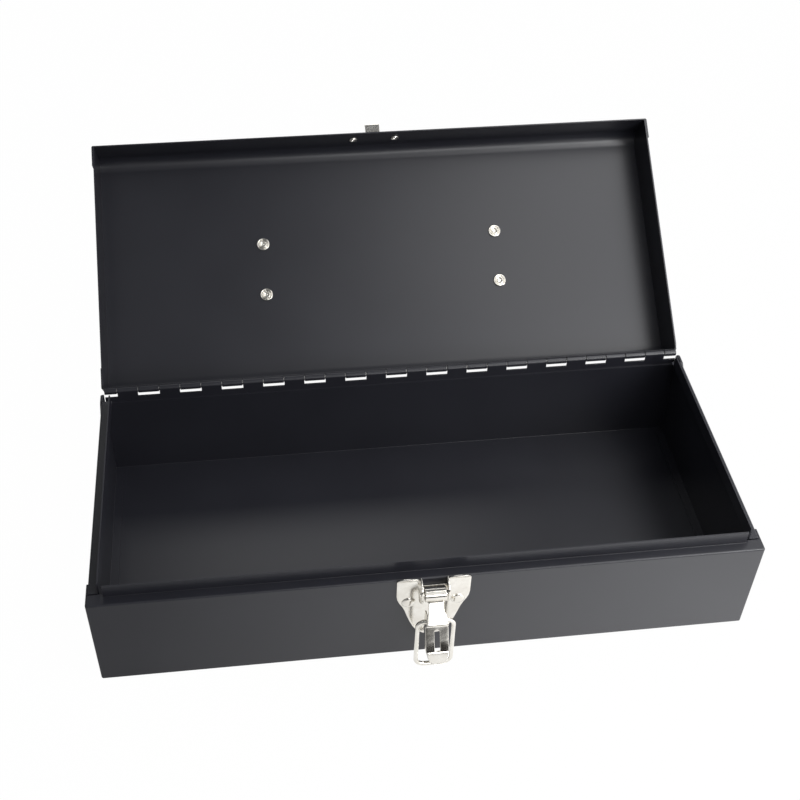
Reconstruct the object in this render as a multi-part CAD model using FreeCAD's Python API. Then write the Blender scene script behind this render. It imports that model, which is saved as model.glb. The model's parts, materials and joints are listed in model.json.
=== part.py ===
import FreeCAD, Part
import math
import os

# A flat sheet-steel tool box with a hinged lid. The lid stands open, the latch hangs loose.
# X runs along the box, Y from front to back, Z up; the origin is the middle of the underside.
# All lengths are in millimetres and all angles in degrees.

# Case
LENGTH = 356.0
DEPTH = 154.5
LEDGE_HEIGHT = 64.8
LIP_RISE = 8.2
LIP_INSET = 5.5
SHEET = 0.8
FOLD = 0.2
CORNER_FLANGE = 14.5
FLANGE_BELOW_LEDGE = 0.5
FLANGE_SLANT = 6.0
FLANGE_SLANT_RUN = 7.5
REAR_CORNER = 2.0
CORNER_TAB = 7.0
LEDGE_GAP = 0.8
LIP_END_GAP = 1.9
REAR_LEDGE_STOP = 6.5
REAR_LIP_STOP = 9.9
FLOOR_WELD_FLANGE = 5.0
FLOOR_WELD_END = 6.0

# Hinge
PIN_DIAMETER = 2.4
PIN_CLEARANCE = 0.05
PIN_RISE = 0.1
HINGE_END = 1.5
KNUCKLE_PITCH = 25.05
KNUCKLE_GAP = 0.4
KNUCKLE_TURN = 290.0
LEAF_SHEET = 0.8
LEAF_WIDTH = 16.0
BODY_NOTCH = 3.45
LID_NOTCH = 3.0
WALL_BELOW_PIN = 7.5
SKIRT_ABOVE_PIN = 3.4

# Lid
LID_OPEN_ANGLE = 144.0
HALF_TURN_ANGLE = 180.0
LID_INSIDE = 26.5
RIM_GAP = 0.3
LID_BEND = 8.0
LID_SIDE_ROUND = 0.9
LID_FLANGE = 13.0
RIM_CORNER = 4.5

# Rivets, as head radius, head height, shank radius, tail radius and tail height
HANDLE_RIVET = {"head": 4.0, "dome": 1.6, "shank": 2.4, "tail": 4.1, "curl": 1.1}
LATCH_RIVET = {"head": 3.75, "dome": 1.5, "shank": 2.0, "tail": 3.2, "curl": 0.9}
KEEPER_RIVET = {"head": 3.0, "dome": 1.2, "shank": 1.6, "tail": 2.7, "curl": 0.8}
RIVET_CLEARANCE = 0.05
TAIL_BORE_SHARE = 0.62
TAIL_NUB_SHARE = 0.45

# Latch base plate on the front wall: drops and rises are counted from the lever's pin
PLATE = 1.0
PLATE_FOLD = 0.5
PLATE_HALF = 19.6
PLATE_DROP = 41.0
PLATE_TOE = 9.6
PLATE_KNEE_HALF = 15.6
PLATE_KNEE_DROP = 17.7
PLATE_SHOULDER_DROP = 9.7
PLATE_LIP_FOLD = 5.7
PLATE_LIP_RISE = 3.3
PLATE_LIP_REACH = 1.8
PLATE_CORNER = 2.5
WINDOW_HALF = 7.5
WINDOW_DROP = 12.5
EAR_RISE = 4.0
EAR_RADIUS = 3.4
LATCH_RIVET_X = 13.1
LATCH_RIVET_DROP = 11.2

# Latch lever, in its own closed position: stations run down from the hub
HUB_STANDOFF = 5.5
HUB_BELOW_LEDGE = 6.5
LEVER_TILT = 27.0
HUB_RADIUS = 4.75
HUB_ROLL_FRONT = -20.0
HUB_ROLL_BACK = 220.0
HUB_ROLL_END = 40.0
LEVER_SHEET = 1.0
LEVER_HALF = 5.8
NECK_HALF = 3.9
NECK_OFFSET = 2.2
NECK_START = 5.2
NECK_END = 9.4
BULGE_OFFSET = 4.4
BULGE_START = 11.8
BULGE_END = 14.6
FACE_START = 17.6
FACE_OFFSET = 1.9
LIP_START = 31.8
LIP_OFFSET = 1.3
LEVER_END = 38.2
LEVER_LIP_OFFSET = 5.2
CHEEK_BACK = 3.0
CHEEK_END = 33.0
LEVER_TIP_ROUND = 5.2
SLOT_HALF = 1.5
SLOT_START = 19.4
SLOT_END = 32.0
LEVER_PIN_RADIUS = 1.5
LEVER_PIN_PROUD = 0.4

# Wire loop
WIRE_RADIUS = 1.2
LOOP_HALF = 9.6
LOOP_PIVOT = 15.4
LOOP_REACH = 38.3
LOOP_TOP_BEND = 4.0
LOOP_BAR_BEND = 5.0
LOOP_TAIL = 4.2
LOOP_CLEARANCE = 0.08
LOOP_SEAT_GAP = 0.2

# Keeper on the lid's front
KEEPER = 1.0
KEEPER_HALF = 18.5
KEEPER_RIVET_X = 13.5
KEEPER_HALF_HEIGHT = 4.9
KEEPER_CORNER = 3.0
HOOK_HALF = 6.0
HOOK_TIP_HALF = 4.6
HOOK_NECK = 4.0
HOOK_REACH = 11.8
HOOK_TIP = 3.6
HOOK_BEND = 1.0

# Handle and its saddles on the lid
SADDLE_X = 75.7
SADDLE_FROM_FRONT = 79.3
SADDLE_RIVET_SPACING = 33.5
SADDLE_LENGTH = 46.0
SADDLE_WIDTH = 11.0
SADDLE_SHEET = 1.2
SADDLE_FOLD = 0.8
SADDLE_CLEARANCE = 0.1
HANDLE_RADIUS = 3.0
HANDLE_LIFT = 0.3
HANDLE_RISE = 36.0
HANDLE_LEG_INSET = 5.2
HANDLE_FOOT_BEND = 5.0
HANDLE_GRIP_BEND = 12.0
HANDLE_STUB_PROUD = 2.0

OVERRUN = 5.0

# Shares of the sizes that they follow
ROUND_END_SHARE = 0.96
EAR_REACH_SHARE = 0.6
EAR_LIFT_SHARE = 0.8
DOME_SHARES = ((0.5, 0.85), (0.85, 0.4))

# Places that follow from the sizes above
HALF = LENGTH / 2
FRONT = -DEPTH / 2
BACK = DEPTH / 2
KNUCKLE_INNER = PIN_DIAMETER / 2 + PIN_CLEARANCE
KNUCKLE_OUTER = KNUCKLE_INNER + LEAF_SHEET
PIN_Y = BACK + LEAF_SHEET + KNUCKLE_INNER
PIN_Z = LEDGE_HEIGHT + PIN_RISE
HINGE_HALF = HALF - HINGE_END
KNUCKLE_HALF = KNUCKLE_PITCH / 4 - KNUCKLE_GAP / 2
PITCHES = math.floor((HINGE_HALF + KNUCKLE_PITCH / 8) / KNUCKLE_PITCH)
RIM_Z = LEDGE_HEIGHT + RIM_GAP
LID_TOP = RIM_Z + LID_INSIDE + SHEET
REAR_WALL_TOP = PIN_Z - WALL_BELOW_PIN
FLANGE_TOP = LEDGE_HEIGHT - FLANGE_BELOW_LEDGE
HUB_Y = FRONT - HUB_STANDOFF
HUB_HEIGHT = LEDGE_HEIGHT - HUB_BELOW_LEDGE
PLATE_BOTTOM = HUB_HEIGHT - PLATE_DROP
PLATE_FOLD_Z = HUB_HEIGHT + PLATE_LIP_FOLD
WINDOW_BOTTOM = HUB_HEIGHT - WINDOW_DROP
LATCH_RIVET_Z = HUB_HEIGHT - LATCH_RIVET_DROP
LATCHED_BAR_Z = HUB_HEIGHT - LOOP_PIVOT + LOOP_REACH
HOOK_SEAT = LATCHED_BAR_Z - WIRE_RADIUS - LOOP_SEAT_GAP
KEEPER_TOP = HOOK_SEAT - KEEPER / 2
KEEPER_Z = KEEPER_TOP - KEEPER_HALF_HEIGHT
HANDLE_Y = FRONT + SADDLE_FROM_FRONT
HANDLE_Z = LID_TOP + HANDLE_RADIUS + HANDLE_LIFT
HANDLE_LEG_X = SADDLE_X - SADDLE_WIDTH / 2 - HANDLE_LEG_INSET


def in_yz(x):
    """Places a flat outline's (y, z) points on the plane at x."""
    return lambda point: FreeCAD.Vector(x, point[0], point[1])


def in_xz(y):
    """Places a flat outline's (x, z) points on the plane at y."""
    return lambda point: FreeCAD.Vector(point[0], y, point[1])


def in_xy(z):
    """Places a flat outline's (x, y) points on the plane at z."""
    return lambda point: FreeCAD.Vector(point[0], point[1], z)


def block(x0, x1, y0, y1, z0, z1):
    corner = FreeCAD.Vector(x0, y0, z0)
    return Part.makeBox(x1 - x0, y1 - y0, z1 - z0, corner)


def rod_along_x(x0, x1, y, z, radius):
    return Part.makeCylinder(radius, x1 - x0, FreeCAD.Vector(x0, y, z), FreeCAD.Vector(1, 0, 0))


def shifted(point, direction, distance):
    return (point[0] + direction[0] * distance, point[1] + direction[1] * distance)


def direction_between(start, end):
    dx = end[0] - start[0]
    dy = end[1] - start[1]
    size = math.hypot(dx, dy)
    return (dx / size, dy / size)


def corner_arc(before, corner, after, radius):
    """Where a rounded corner starts, its centre, and where it ends."""
    into = direction_between(before, corner)
    out = direction_between(corner, after)
    turn = math.atan2(into[0] * out[1] - into[1] * out[0], into[0] * out[0] + into[1] * out[1])
    reach = radius * math.tan(abs(turn) / 2)
    side = math.copysign(1, turn)
    start = shifted(corner, into, -reach)
    end = shifted(corner, out, reach)
    centre = shifted(start, (-into[1] * side, into[0] * side), radius)
    return start, centre, end, side


def arc_edge(start, end, centre, corner, radius, place):
    middle = shifted(centre, direction_between(centre, corner), radius)
    return Part.Arc(place(start), place(middle), place(end)).toShape()


def line_edge(start, end, place):
    return Part.LineSegment(place(start), place(end)).toShape()


def rounded_path(points, radii, place, offset=0):
    """Edges along a path with rounded corners, moved sideways to its left by the offset."""
    edges = []
    first = direction_between(points[0], points[1])
    here = shifted(points[0], (-first[1], first[0]), offset)
    for index in range(1, len(points) - 1):
        before, corner, after = points[index - 1], points[index], points[index + 1]
        start, centre, end, side = corner_arc(before, corner, after, radii[index - 1])
        radius = radii[index - 1] - side * offset
        start = shifted(centre, direction_between(centre, start), radius)
        end = shifted(centre, direction_between(centre, end), radius)
        edges.append(line_edge(here, start, place))
        edges.append(arc_edge(start, end, centre, corner, radius, place))
        here = end
    last = direction_between(points[-2], points[-1])
    stop = shifted(points[-1], (-last[1], last[0]), offset)
    edges.append(line_edge(here, stop, place))
    return edges


def sheet_face(points, thickness, fold, place):
    """Section of a folded sheet whose middle line runs through the points."""
    radii = [fold + thickness / 2] * (len(points) - 2)
    left = rounded_path(points, radii, place, thickness / 2)
    right = rounded_path(points, radii, place, -thickness / 2)
    end = Part.LineSegment(left[-1].Vertexes[-1].Point, right[-1].Vertexes[-1].Point).toShape()
    start = Part.LineSegment(right[0].Vertexes[0].Point, left[0].Vertexes[0].Point).toShape()
    wire = Part.Wire(Part.__sortEdges__(left + [end] + right + [start]))
    return Part.Face(wire)


def rounded_face(points, radii, place):
    """Face of a closed outline; each corner has its own radius, and 0 leaves it sharp."""
    count = len(points)
    edges = []
    ends = []
    for index, corner in enumerate(points):
        if radii[index] == 0:
            ends.append((corner, corner, None))
            continue
        before = points[index - 1]
        after = points[(index + 1) % count]
        start, centre, end, side = corner_arc(before, corner, after, radii[index])
        ends.append((start, end, centre))
    for index, (start, end, centre) in enumerate(ends):
        if centre is not None:
            edges.append(arc_edge(start, end, centre, points[index], radii[index], place))
        following = ends[(index + 1) % count][0]
        edges.append(line_edge(end, following, place))
    return Part.Face(Part.Wire(edges))


def ring_sector(x0, x1, y, z, inner, outer, start, end):
    """A rolled strip about an axis along X, between two angles counted from +Y towards +Z."""
    def at(radius, angle):
        turn = math.radians(angle)
        return FreeCAD.Vector(x0, y + radius * math.cos(turn), z + radius * math.sin(turn))
    middle = (start + end) / 2
    edges = [
        Part.Arc(at(outer, start), at(outer, middle), at(outer, end)).toShape(),
        Part.LineSegment(at(outer, end), at(inner, end)).toShape(),
        Part.Arc(at(inner, end), at(inner, middle), at(inner, start)).toShape(),
        Part.LineSegment(at(inner, start), at(outer, start)).toShape(),
    ]
    return Part.Face(Part.Wire(edges)).extrude(FreeCAD.Vector(x1 - x0, 0, 0))


def joined(shapes):
    whole = shapes[0].fuse(shapes[1:]) if len(shapes) > 1 else shapes[0]
    return whole.removeSplitter()


def mirrored(shape):
    return shape.mirror(FreeCAD.Vector(0, 0, 0), FreeCAD.Vector(1, 0, 0))


def turned(shape, y, z, angle):
    """The shape turned about an axis along X through (y, z)."""
    copy = shape.copy()
    copy.rotate(FreeCAD.Vector(0, y, z), FreeCAD.Vector(1, 0, 0), angle)
    return copy


def opened(shape):
    """From the lid's closed place to where the open lid carries it."""
    return turned(shape, PIN_Y, PIN_Z, -LID_OPEN_ANGLE)


def wire_rod(points, radii, radius, place):
    """A round rod along a path with rounded corners."""
    path = Part.Wire(rounded_path(points, radii, place))
    start = place(points[0])
    heading = (place(points[1]) - start).normalize()
    circle = Part.Wire(Part.makeCircle(radius, start, heading))
    return path.makePipeShell([circle], True, False)


def body_knuckles():
    return [((index + 1 / 2) * KNUCKLE_PITCH - KNUCKLE_HALF, (index + 1 / 2) * KNUCKLE_PITCH + KNUCKLE_HALF)
            for index in range(-PITCHES, PITCHES)]


def lid_knuckles():
    """Whole knuckles between the body's, and a shorter one at each end."""
    spans = [(index * KNUCKLE_PITCH - KNUCKLE_HALF, index * KNUCKLE_PITCH + KNUCKLE_HALF)
             for index in range(1 - PITCHES, PITCHES)]
    inner_end = PITCHES * KNUCKLE_PITCH - KNUCKLE_HALF
    return [(-HINGE_HALF, -inner_end)] + spans + [(inner_end, HINGE_HALF)]


def corner_flange(x_outer, y_wall, y_end, z0, z1):
    """A wall's end folded round the corner: a folded strip seen from above, at the +X end."""
    inward = math.copysign(CORNER_FLANGE, -x_outer)
    points = [(x_outer + inward, y_wall), (x_outer, y_wall), (x_outer, y_end)]
    return sheet_face(points, SHEET, FOLD, in_xy(z0)).extrude(FreeCAD.Vector(0, 0, z1 - z0))


def slanted_end(x, y_end, z_top):
    """A wedge that takes the upper end of a rear corner flange off at a slant."""
    points = [(y_end - OVERRUN, z_top + OVERRUN), (y_end - OVERRUN, z_top - FLANGE_SLANT),
              (y_end, z_top - FLANGE_SLANT), (y_end + FLANGE_SLANT_RUN, z_top),
              (y_end + FLANGE_SLANT_RUN, z_top + OVERRUN)]
    face = rounded_face(points, [0] * len(points), in_yz(x - OVERRUN))
    return face.extrude(FreeCAD.Vector(2 * OVERRUN, 0, 0))


def hinge_leaf(knuckles, gaps, notch, lift, first_angle):
    """A strip rolled round the pin and notched for the other leaf's knuckles.

    It rises from the pin where lift is 1 and hangs from it where lift is -1.
    """
    z0, z1 = sorted((PIN_Z, PIN_Z + lift * LEAF_WIDTH))
    strip = block(-HINGE_HALF, HINGE_HALF, BACK, BACK + LEAF_SHEET, z0, z1)
    n0, n1 = sorted((PIN_Z - lift * OVERRUN, PIN_Z + lift * notch))
    cuts = []
    for x0, x1 in gaps:
        cuts.append(block(x0 - KNUCKLE_GAP, x1 + KNUCKLE_GAP, BACK - OVERRUN, BACK + OVERRUN, n0, n1))
    pieces = [strip.cut(cuts)]
    bore, rim = KNUCKLE_INNER, KNUCKLE_OUTER
    last_angle = first_angle + KNUCKLE_TURN
    for x0, x1 in knuckles:
        pieces.append(ring_sector(x0, x1, PIN_Y, PIN_Z, bore, rim, first_angle, last_angle))
    return joined(pieces)


def hinge_leaf_body():
    first_angle = HALF_TURN_ANGLE - KNUCKLE_TURN
    return hinge_leaf(body_knuckles(), lid_knuckles(), BODY_NOTCH, -1, first_angle)


def hinge_leaf_lid():
    return opened(hinge_leaf(lid_knuckles(), body_knuckles(), LID_NOTCH, 1, HALF_TURN_ANGLE))


def body_shell():
    """Front wall, floor and rear wall in one sheet, with ledge, lip and corner flanges."""
    half = SHEET / 2
    lip_y = FRONT + LIP_INSET + half
    ledge = LEDGE_HEIGHT - half
    points = [(lip_y, LEDGE_HEIGHT + LIP_RISE), (lip_y, ledge), (FRONT + half, ledge),
              (FRONT + half, half), (BACK - half, half), (BACK - half, REAR_WALL_TOP)]
    shell = sheet_face(points, SHEET, FOLD, in_yz(-HALF)).extrude(FreeCAD.Vector(LENGTH, 0, 0))
    lip_half = HALF - LIP_INSET - SHEET - LIP_END_GAP
    lip_back = lip_y - half - FOLD
    cuts = []
    additions = []
    for side in (-1, 1):
        x0, x1 = sorted((side * lip_half, side * (HALF + OVERRUN)))
        cuts.append(block(x0, x1, lip_back, lip_back + CORNER_FLANGE, LEDGE_HEIGHT - OVERRUN,
                          LEDGE_HEIGHT + LIP_RISE + OVERRUN))
        x0, x1 = sorted((side * lip_half, side * HALF))
        tab_end = FRONT + CORNER_TAB
        additions.append(block(x0, x1, lip_back - half, tab_end, LEDGE_HEIGHT - SHEET, LEDGE_HEIGHT))
        additions.extend(body_corners(side))
    for x in (-LATCH_RIVET_X, LATCH_RIVET_X):
        cuts.append(rivet_hole(LATCH_RIVET, (x, FRONT, LATCH_RIVET_Z), (0, 1, 0)))
    return joined([shell.cut(cuts)] + additions)


def body_corners(side):
    """The front and the rear corner flange at one end, both welded to the end panel's outside."""
    half = SHEET / 2
    turn = FOLD + SHEET
    x = side * (HALF + half)
    front = corner_flange(x, FRONT + half, FRONT + CORNER_FLANGE, turn, LEDGE_HEIGHT - turn)
    x0, x1 = sorted((side * HALF, side * (HALF + SHEET)))
    plate = block(x0, x1, FRONT + turn, FRONT + CORNER_FLANGE, turn, FLANGE_TOP)
    rear_end = BACK - CORNER_FLANGE
    rear = corner_flange(x, BACK - half, rear_end, turn, FLANGE_TOP)
    inner_x = side * (HALF + SHEET - REAR_CORNER)
    x0, x1 = sorted((inner_x, inner_x - side * CORNER_FLANGE))
    above_wall = block(x0, x1, BACK - OVERRUN, BACK + OVERRUN, REAR_WALL_TOP, FLANGE_TOP + OVERRUN)
    rear = rear.cut([above_wall, slanted_end(x, rear_end, FLANGE_TOP)])
    return [front, plate, rear]


def end_panel():
    """The +X end: wall, inward ledge, raised lip, and a flange welded to the floor."""
    half = SHEET / 2
    lip_x = HALF - LIP_INSET - half
    y0 = FRONT + SHEET + FOLD
    y1 = BACK - SHEET - FOLD
    ledge_start = FRONT + CORNER_TAB + LEDGE_GAP
    ledge_stop = BACK - REAR_LEDGE_STOP
    ledge = LEDGE_HEIGHT - half
    points = [(lip_x, LEDGE_HEIGHT + LIP_RISE), (lip_x, ledge), (HALF - half, ledge),
              (HALF - half, LEDGE_HEIGHT / 2)]
    upper = sheet_face(points, SHEET, FOLD, in_xz(ledge_start))
    upper = upper.extrude(FreeCAD.Vector(0, ledge_stop - ledge_start, 0))
    points = [(HALF - half, LEDGE_HEIGHT / 2), (HALF - half, SHEET + half),
              (HALF - SHEET - FLOOR_WELD_FLANGE, SHEET + half)]
    lower = sheet_face(points, SHEET, FOLD, in_xz(y0 + FLOOR_WELD_END))
    lower = lower.extrude(FreeCAD.Vector(0, y1 - y0 - 2 * FLOOR_WELD_END, 0))
    wall = block(HALF - SHEET, HALF, y0, y1, SHEET + FOLD + SHEET, LEDGE_HEIGHT - SHEET - FOLD)
    front_foot = block(HALF - SHEET, HALF, y0, y0 + FLOOR_WELD_END, SHEET, LEDGE_HEIGHT / 2)
    rear_foot = block(HALF - SHEET, HALF, y1 - FLOOR_WELD_END, y1, SHEET, LEDGE_HEIGHT / 2)
    front_top = block(HALF - SHEET, HALF, y0, ledge_start, LEDGE_HEIGHT / 2, LEDGE_HEIGHT - SHEET)
    rear_top = block(HALF - SHEET, HALF, ledge_stop, y1, LEDGE_HEIGHT / 2, LEDGE_HEIGHT)
    no_lip = block(HALF - LIP_INSET - OVERRUN, HALF, BACK - REAR_LIP_STOP, BACK,
                   LEDGE_HEIGHT, LEDGE_HEIGHT + LIP_RISE + OVERRUN)
    return joined([upper.cut(no_lip), lower, wall, front_foot, rear_foot, front_top, rear_top])


def pan_outline(inset, x):
    """The lid's section: open below, with a wide bend at the front and at the rear."""
    front = FRONT + inset
    rear = BACK - inset
    top = LID_TOP - inset
    bottom = RIM_Z - (OVERRUN if inset else 0)
    bend = LID_BEND + SHEET - inset
    points = [(front, bottom), (rear, bottom), (rear, top), (front, top)]
    return rounded_face(points, [0, 0, bend, bend], in_yz(x))


def lid_shell():
    """The lid's pan in its closed place, then swung open."""
    outside = pan_outline(0, -HALF).extrude(FreeCAD.Vector(LENGTH, 0, 0))
    ends = [edge for edge in outside.Edges
            if abs(abs(edge.CenterOfMass.x) - HALF) < FOLD and edge.CenterOfMass.z > RIM_Z + FOLD * 2
            and not is_upright(edge)]
    outside = outside.makeFillet(LID_SIDE_ROUND, ends)
    inner_half = HALF - SHEET
    inside = pan_outline(SHEET, -inner_half).extrude(FreeCAD.Vector(2 * inner_half, 0, 0))
    pan = outside.cut(inside)
    half = SHEET / 2
    flange_top = LID_TOP - LID_BEND - SHEET
    skirt_rear = PIN_Z + SKIRT_ABOVE_PIN
    additions = []
    for side in (-1, 1):
        x = side * (HALF + half)
        additions.append(corner_flange(x, FRONT + half, FRONT + LID_FLANGE, RIM_Z, flange_top))
        additions.append(corner_flange(x, BACK - half, BACK - LID_FLANGE, skirt_rear, flange_top))
    lid = joined([pan] + additions)
    cuts = [block(-HALF - OVERRUN, HALF + OVERRUN, BACK - SHEET, BACK + OVERRUN, RIM_Z - OVERRUN, skirt_rear)]
    for side in (-1, 1):
        x0, x1 = sorted((side * HINGE_HALF, side * (HALF + OVERRUN)))
        corner = block(x0, x1, BACK - RIM_CORNER, BACK + OVERRUN, RIM_Z - OVERRUN, RIM_Z + RIM_CORNER)
        round_off = rod_along_x(x0, x1, BACK - RIM_CORNER, RIM_Z + RIM_CORNER, RIM_CORNER)
        cuts.append(corner.cut(round_off))
        for y in handle_rivet_rows():
            cuts.append(rivet_hole(HANDLE_RIVET, (side * SADDLE_X, y, LID_TOP), (0, 0, -1)))
        cuts.append(rivet_hole(KEEPER_RIVET, (side * KEEPER_RIVET_X, FRONT, KEEPER_Z), (0, 1, 0)))
    return opened(lid.cut(cuts))


def is_upright(edge):
    box = edge.BoundBox
    return box.ZLength > LID_INSIDE / 4 and box.YLength < FOLD / 2


def handle_rivet_rows():
    return (HANDLE_Y - SADDLE_RIVET_SPACING / 2, HANDLE_Y + SADDLE_RIVET_SPACING / 2)


def rivet_hole(rivet, place, axis):
    radius = rivet["shank"] + RIVET_CLEARANCE
    direction = FreeCAD.Vector(*axis)
    start = FreeCAD.Vector(*place) - direction * OVERRUN
    return Part.makeCylinder(radius, 2 * OVERRUN, start, direction)


def rivet_solid(rivet, grip, place, axis):
    """A low domed head on the outer sheet, a shank, and a tubular tail rolled over inside."""
    head, dome, shank = rivet["head"], rivet["dome"], rivet["shank"]
    tail, curl = rivet["tail"], rivet["curl"]
    bore = shank * TAIL_BORE_SHARE
    nub = bore * TAIL_NUB_SHARE
    points = [(0, -dome)] + [(head * out, -dome * up) for out, up in DOME_SHARES]
    points += [(head, 0), (shank, 0), (shank, grip), (tail, grip), (tail - curl / 2, grip + curl),
               (bore + curl / 4, grip + curl), (bore, grip), (nub, grip - curl / 2), (0, grip + curl / 4)]
    face = rounded_face(points, [0] * len(points), in_xz(0))
    solid = face.revolve(FreeCAD.Vector(0, 0, 0), FreeCAD.Vector(0, 0, 1), 360)
    direction = FreeCAD.Vector(*axis)
    turn = FreeCAD.Rotation(FreeCAD.Vector(0, 0, 1), direction)
    solid.Placement = FreeCAD.Placement(FreeCAD.Vector(*place), turn)
    return solid


def hinge_pin():
    return rod_along_x(-HINGE_HALF, HINGE_HALF, PIN_Y, PIN_Z, PIN_DIAMETER / 2)


def latch_outline():
    """The plate seen from the front: two wings over a narrow rounded toe, with a window between."""
    knee = HUB_HEIGHT - PLATE_KNEE_DROP
    shoulder = HUB_HEIGHT - PLATE_SHOULDER_DROP
    top = PLATE_FOLD_Z + PLATE_LIP_RISE
    right = [(0, PLATE_BOTTOM), (PLATE_TOE, PLATE_BOTTOM), (PLATE_KNEE_HALF, knee),
             (PLATE_HALF, shoulder), (PLATE_HALF, top), (WINDOW_HALF, top), (WINDOW_HALF, WINDOW_BOTTOM)]
    toe = PLATE_TOE * ROUND_END_SHARE
    radii = [0, toe, PLATE_TOE, PLATE_CORNER * 2, PLATE_CORNER, PLATE_FOLD, PLATE_CORNER / 2]
    left = [(-x, z) for x, z in reversed(right[1:])]
    return rounded_face(right + left, radii + list(reversed(radii[1:])), in_xz(FRONT + OVERRUN))


def latch_ear():
    """The +X ear, folded forward from the window's edge to carry the lever's pin."""
    reach = HUB_Y - EAR_RADIUS * EAR_REACH_SHARE
    lift = EAR_RADIUS * EAR_LIFT_SHARE
    top = HUB_HEIGHT + EAR_RISE
    points = [(FRONT, WINDOW_BOTTOM + PLATE_CORNER / 2), (reach, HUB_HEIGHT - lift),
              (reach, HUB_HEIGHT + lift), (FRONT - PLATE, top), (FRONT, top)]
    face = rounded_face(points, [0] * len(points), in_yz(WINDOW_HALF - PLATE))
    ear = face.extrude(FreeCAD.Vector(PLATE, 0, 0))
    return ear.fuse(rod_along_x(WINDOW_HALF - PLATE, WINDOW_HALF, HUB_Y, HUB_HEIGHT, EAR_RADIUS))


def latch_base():
    """The riveted plate, with its flared upper lips and the two ears."""
    middle = FRONT - PLATE / 2
    points = [(middle, PLATE_BOTTOM - OVERRUN), (middle, PLATE_FOLD_Z),
              (middle - PLATE_LIP_REACH, PLATE_FOLD_Z + PLATE_LIP_RISE)]
    section = sheet_face(points, PLATE, PLATE_FOLD, in_yz(-PLATE_HALF))
    sheet = section.extrude(FreeCAD.Vector(2 * PLATE_HALF, 0, 0))
    outline = latch_outline().extrude(FreeCAD.Vector(0, -OVERRUN * 2, 0))
    plate = sheet.common(outline)
    ear = latch_ear()
    holes = [rod_along_x(-HALF, HALF, HUB_Y, HUB_HEIGHT, LEVER_PIN_RADIUS)]
    for x in (-LATCH_RIVET_X, LATCH_RIVET_X):
        holes.append(rivet_hole(LATCH_RIVET, (x, FRONT, LATCH_RIVET_Z), (0, 1, 0)))
    return joined([plate, ear, mirrored(ear)]).cut(holes)


def lever_place(x):
    """From (offset outward, station down from the hub) to the closed lever's place."""
    return lambda point: FreeCAD.Vector(x, HUB_Y - point[0], HUB_HEIGHT - point[1])


def tilted_lever(shape):
    return turned(shape, HUB_Y, HUB_HEIGHT, -LEVER_TILT)


def latch_lever():
    """A pressed channel: rolled hub, narrow neck, bulge, slotted face and curled finger lip."""
    middle = HUB_RADIUS - LEVER_SHEET / 2
    roll_end = math.radians(HUB_ROLL_END)
    path = [(middle * math.cos(roll_end), middle * math.sin(roll_end)), (NECK_OFFSET, NECK_START),
            (NECK_OFFSET, NECK_END), (BULGE_OFFSET, BULGE_START), (BULGE_OFFSET, BULGE_END),
            (FACE_OFFSET, FACE_START), (LIP_OFFSET, LIP_START), (LEVER_LIP_OFFSET, LEVER_END)]
    width = 2 * LEVER_HALF
    web = sheet_face(path, LEVER_SHEET, LEVER_SHEET / 2, lever_place(-LEVER_HALF))
    web = web.extrude(FreeCAD.Vector(width, 0, 0))
    bore = HUB_RADIUS - LEVER_SHEET
    roll = ring_sector(-LEVER_HALF, LEVER_HALF, HUB_Y, HUB_HEIGHT, bore, HUB_RADIUS,
                       HUB_ROLL_FRONT, HUB_ROLL_BACK)
    cheek_points = [(-CHEEK_BACK, 0), (-CHEEK_BACK, CHEEK_END - CHEEK_BACK), (-CHEEK_BACK / 2, CHEEK_END),
                    (LIP_OFFSET, CHEEK_END), (LIP_OFFSET, LIP_START), (FACE_OFFSET, FACE_START),
                    (BULGE_OFFSET, BULGE_END), (BULGE_OFFSET, BULGE_START), (NECK_OFFSET, NECK_END),
                    (NECK_OFFSET, 0)]
    cheek = rounded_face(cheek_points, [0] * len(cheek_points), lever_place(LEVER_HALF - LEVER_SHEET))
    cheek = cheek.extrude(FreeCAD.Vector(LEVER_SHEET, 0, 0))
    cheek = cheek.fuse(rod_along_x(LEVER_HALF - LEVER_SHEET, LEVER_HALF, HUB_Y, HUB_HEIGHT, HUB_RADIUS))
    lever = joined([web, roll, cheek, mirrored(cheek)])
    cuts = []
    half = LEVER_SHEET / 2
    neck = (HUB_HEIGHT - NECK_END - half, HUB_HEIGHT - NECK_START + half)
    for side in (-1, 1):
        x0, x1 = sorted((side * NECK_HALF, side * (LEVER_HALF + OVERRUN)))
        cuts.append(block(x0, x1, HUB_Y - HUB_RADIUS - OVERRUN, HUB_Y - NECK_OFFSET + half, neck[0], neck[1]))
    slot_bottom = HUB_HEIGHT - SLOT_END
    slot_top = HUB_HEIGHT - SLOT_START
    slot = [(-SLOT_HALF, slot_bottom), (SLOT_HALF, slot_bottom),
            (SLOT_HALF, slot_top), (-SLOT_HALF, slot_top)]
    slot_round = SLOT_HALF * ROUND_END_SHARE
    slot_face = rounded_face(slot, [0, 0, slot_round, slot_round], in_xz(HUB_Y + CHEEK_BACK))
    cuts.append(slot_face.extrude(FreeCAD.Vector(0, -3 * CHEEK_BACK, 0)))
    cuts.append(rod_along_x(-HALF, HALF, HUB_Y, HUB_HEIGHT, LEVER_PIN_RADIUS + PIN_CLEARANCE))
    cuts.append(rod_along_x(-HALF, HALF, HUB_Y, HUB_HEIGHT - LOOP_PIVOT, WIRE_RADIUS + LOOP_CLEARANCE))
    return tilted_lever(lever.cut(cuts).common(lever_plan()))


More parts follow.
